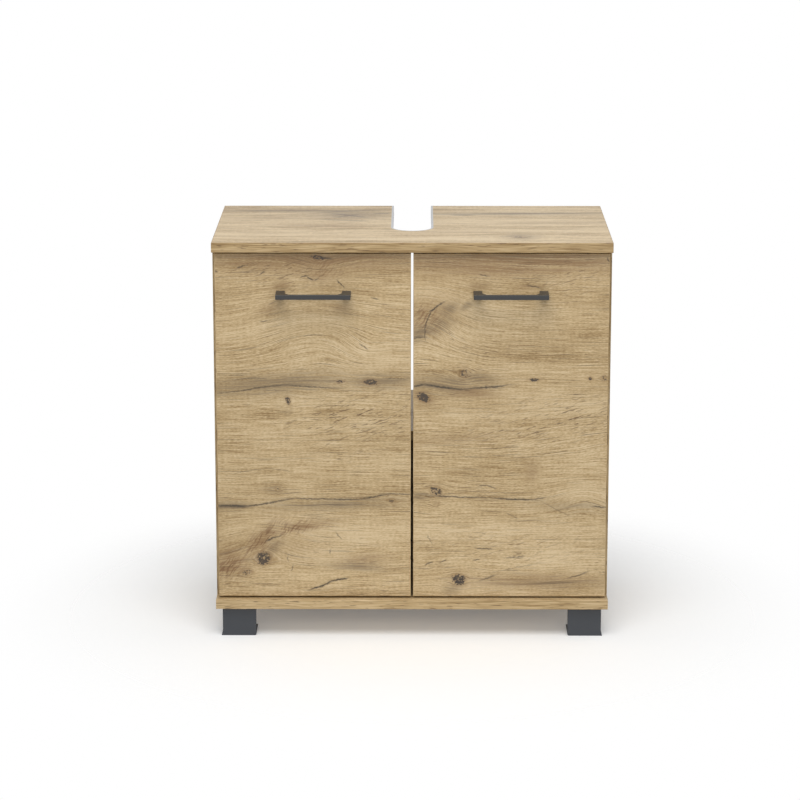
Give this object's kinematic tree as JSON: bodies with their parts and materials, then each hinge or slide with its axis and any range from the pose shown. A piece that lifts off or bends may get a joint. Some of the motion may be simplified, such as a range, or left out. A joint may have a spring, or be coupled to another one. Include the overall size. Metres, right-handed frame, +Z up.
{
  "type": "vanity unit",
  "caption": "Floor-standing bathroom vanity cabinet in oak decor with hinged doors, bow handles, corner feet and a siphon cut-out in the top, open upper back.",
  "frame": {"origin": "on the floor, at the centre of the overall box", "axes": "+X to the viewer's right, +Y from the doors to the wall, +Z up"},
  "size_m": [0.6, 0.3556, 0.615],
  "materials": {
    "oak_decor": "matt decor on chipboard",
    "oak_edge_band": "matt edge band",
    "back_board": "smooth fibreboard",
    "grey_plastic": "matt",
    "anthracite_plastic": "fine grained",
    "anthracite_metal": "satin powder coat",
    "nickel_steel": "nickel plated",
    "zinc_steel": "zinc plated",
    "beech": "fluted raw wood"
  },
  "bodies": {
    "carcass": {"top_panel": "oak_decor", "bottom_panel": "oak_decor", "left_side_panel": "oak_decor", "right_side_panel": "oak_decor", "shelf": "oak_decor", "top_panel_edge_band": "oak_edge_band", "bottom_panel_edge_band": "oak_edge_band", "left_side_edge_band": "oak_edge_band", "right_side_edge_band": "oak_edge_band", "shelf_edge_band": "oak_edge_band", "back_panel": "back_board", "cutout_edging": "grey_plastic", "wood_dowels": "beech", "cam_bolts": "zinc_steel", "cam_locks": "zinc_steel", "back_panel_nails": "zinc_steel", "foot_screws": "zinc_steel", "hinge_plate_screws": "zinc_steel", "hinge_arm_screws": "zinc_steel", "front_left_foot": "anthracite_plastic", "front_right_foot": "anthracite_plastic", "rear_left_foot": "anthracite_plastic", "rear_right_foot": "anthracite_plastic", "upper_left_hinge_arm": "nickel_steel", "upper_left_hinge_plate": "nickel_steel", "lower_left_hinge_arm": "nickel_steel", "lower_left_hinge_plate": "nickel_steel", "upper_right_hinge_arm": "nickel_steel", "upper_right_hinge_plate": "nickel_steel", "lower_right_hinge_arm": "nickel_steel", "lower_right_hinge_plate": "nickel_steel"},
    "left_door": {"left_door": "oak_decor", "left_door_edge_band": "oak_edge_band", "left_handle": "anthracite_metal", "left_handle_screws": "zinc_steel", "left_cup_screws": "zinc_steel", "left_hinge_pins": "zinc_steel", "upper_left_hinge_cup": "nickel_steel", "lower_left_hinge_cup": "nickel_steel"},
    "right_door": {"right_door": "oak_decor", "right_door_edge_band": "oak_edge_band", "right_handle": "anthracite_metal", "right_handle_screws": "zinc_steel", "right_cup_screws": "zinc_steel", "right_hinge_pins": "zinc_steel", "upper_right_hinge_cup": "nickel_steel", "lower_right_hinge_cup": "nickel_steel"}
  },
  "joints": [
    {"name": "left_door_hinge", "type": "hinge", "parent": "carcass", "child": "left_door", "pos_m": [-0.2885, -0.13525, 0.33], "axis": [0, 0, -1], "range_deg": [0, 95]},
    {"name": "right_door_hinge", "type": "hinge", "parent": "carcass", "child": "right_door", "pos_m": [0.2885, -0.13525, 0.33], "axis": [0, 0, 1], "range_deg": [0, 95]}
  ]
}
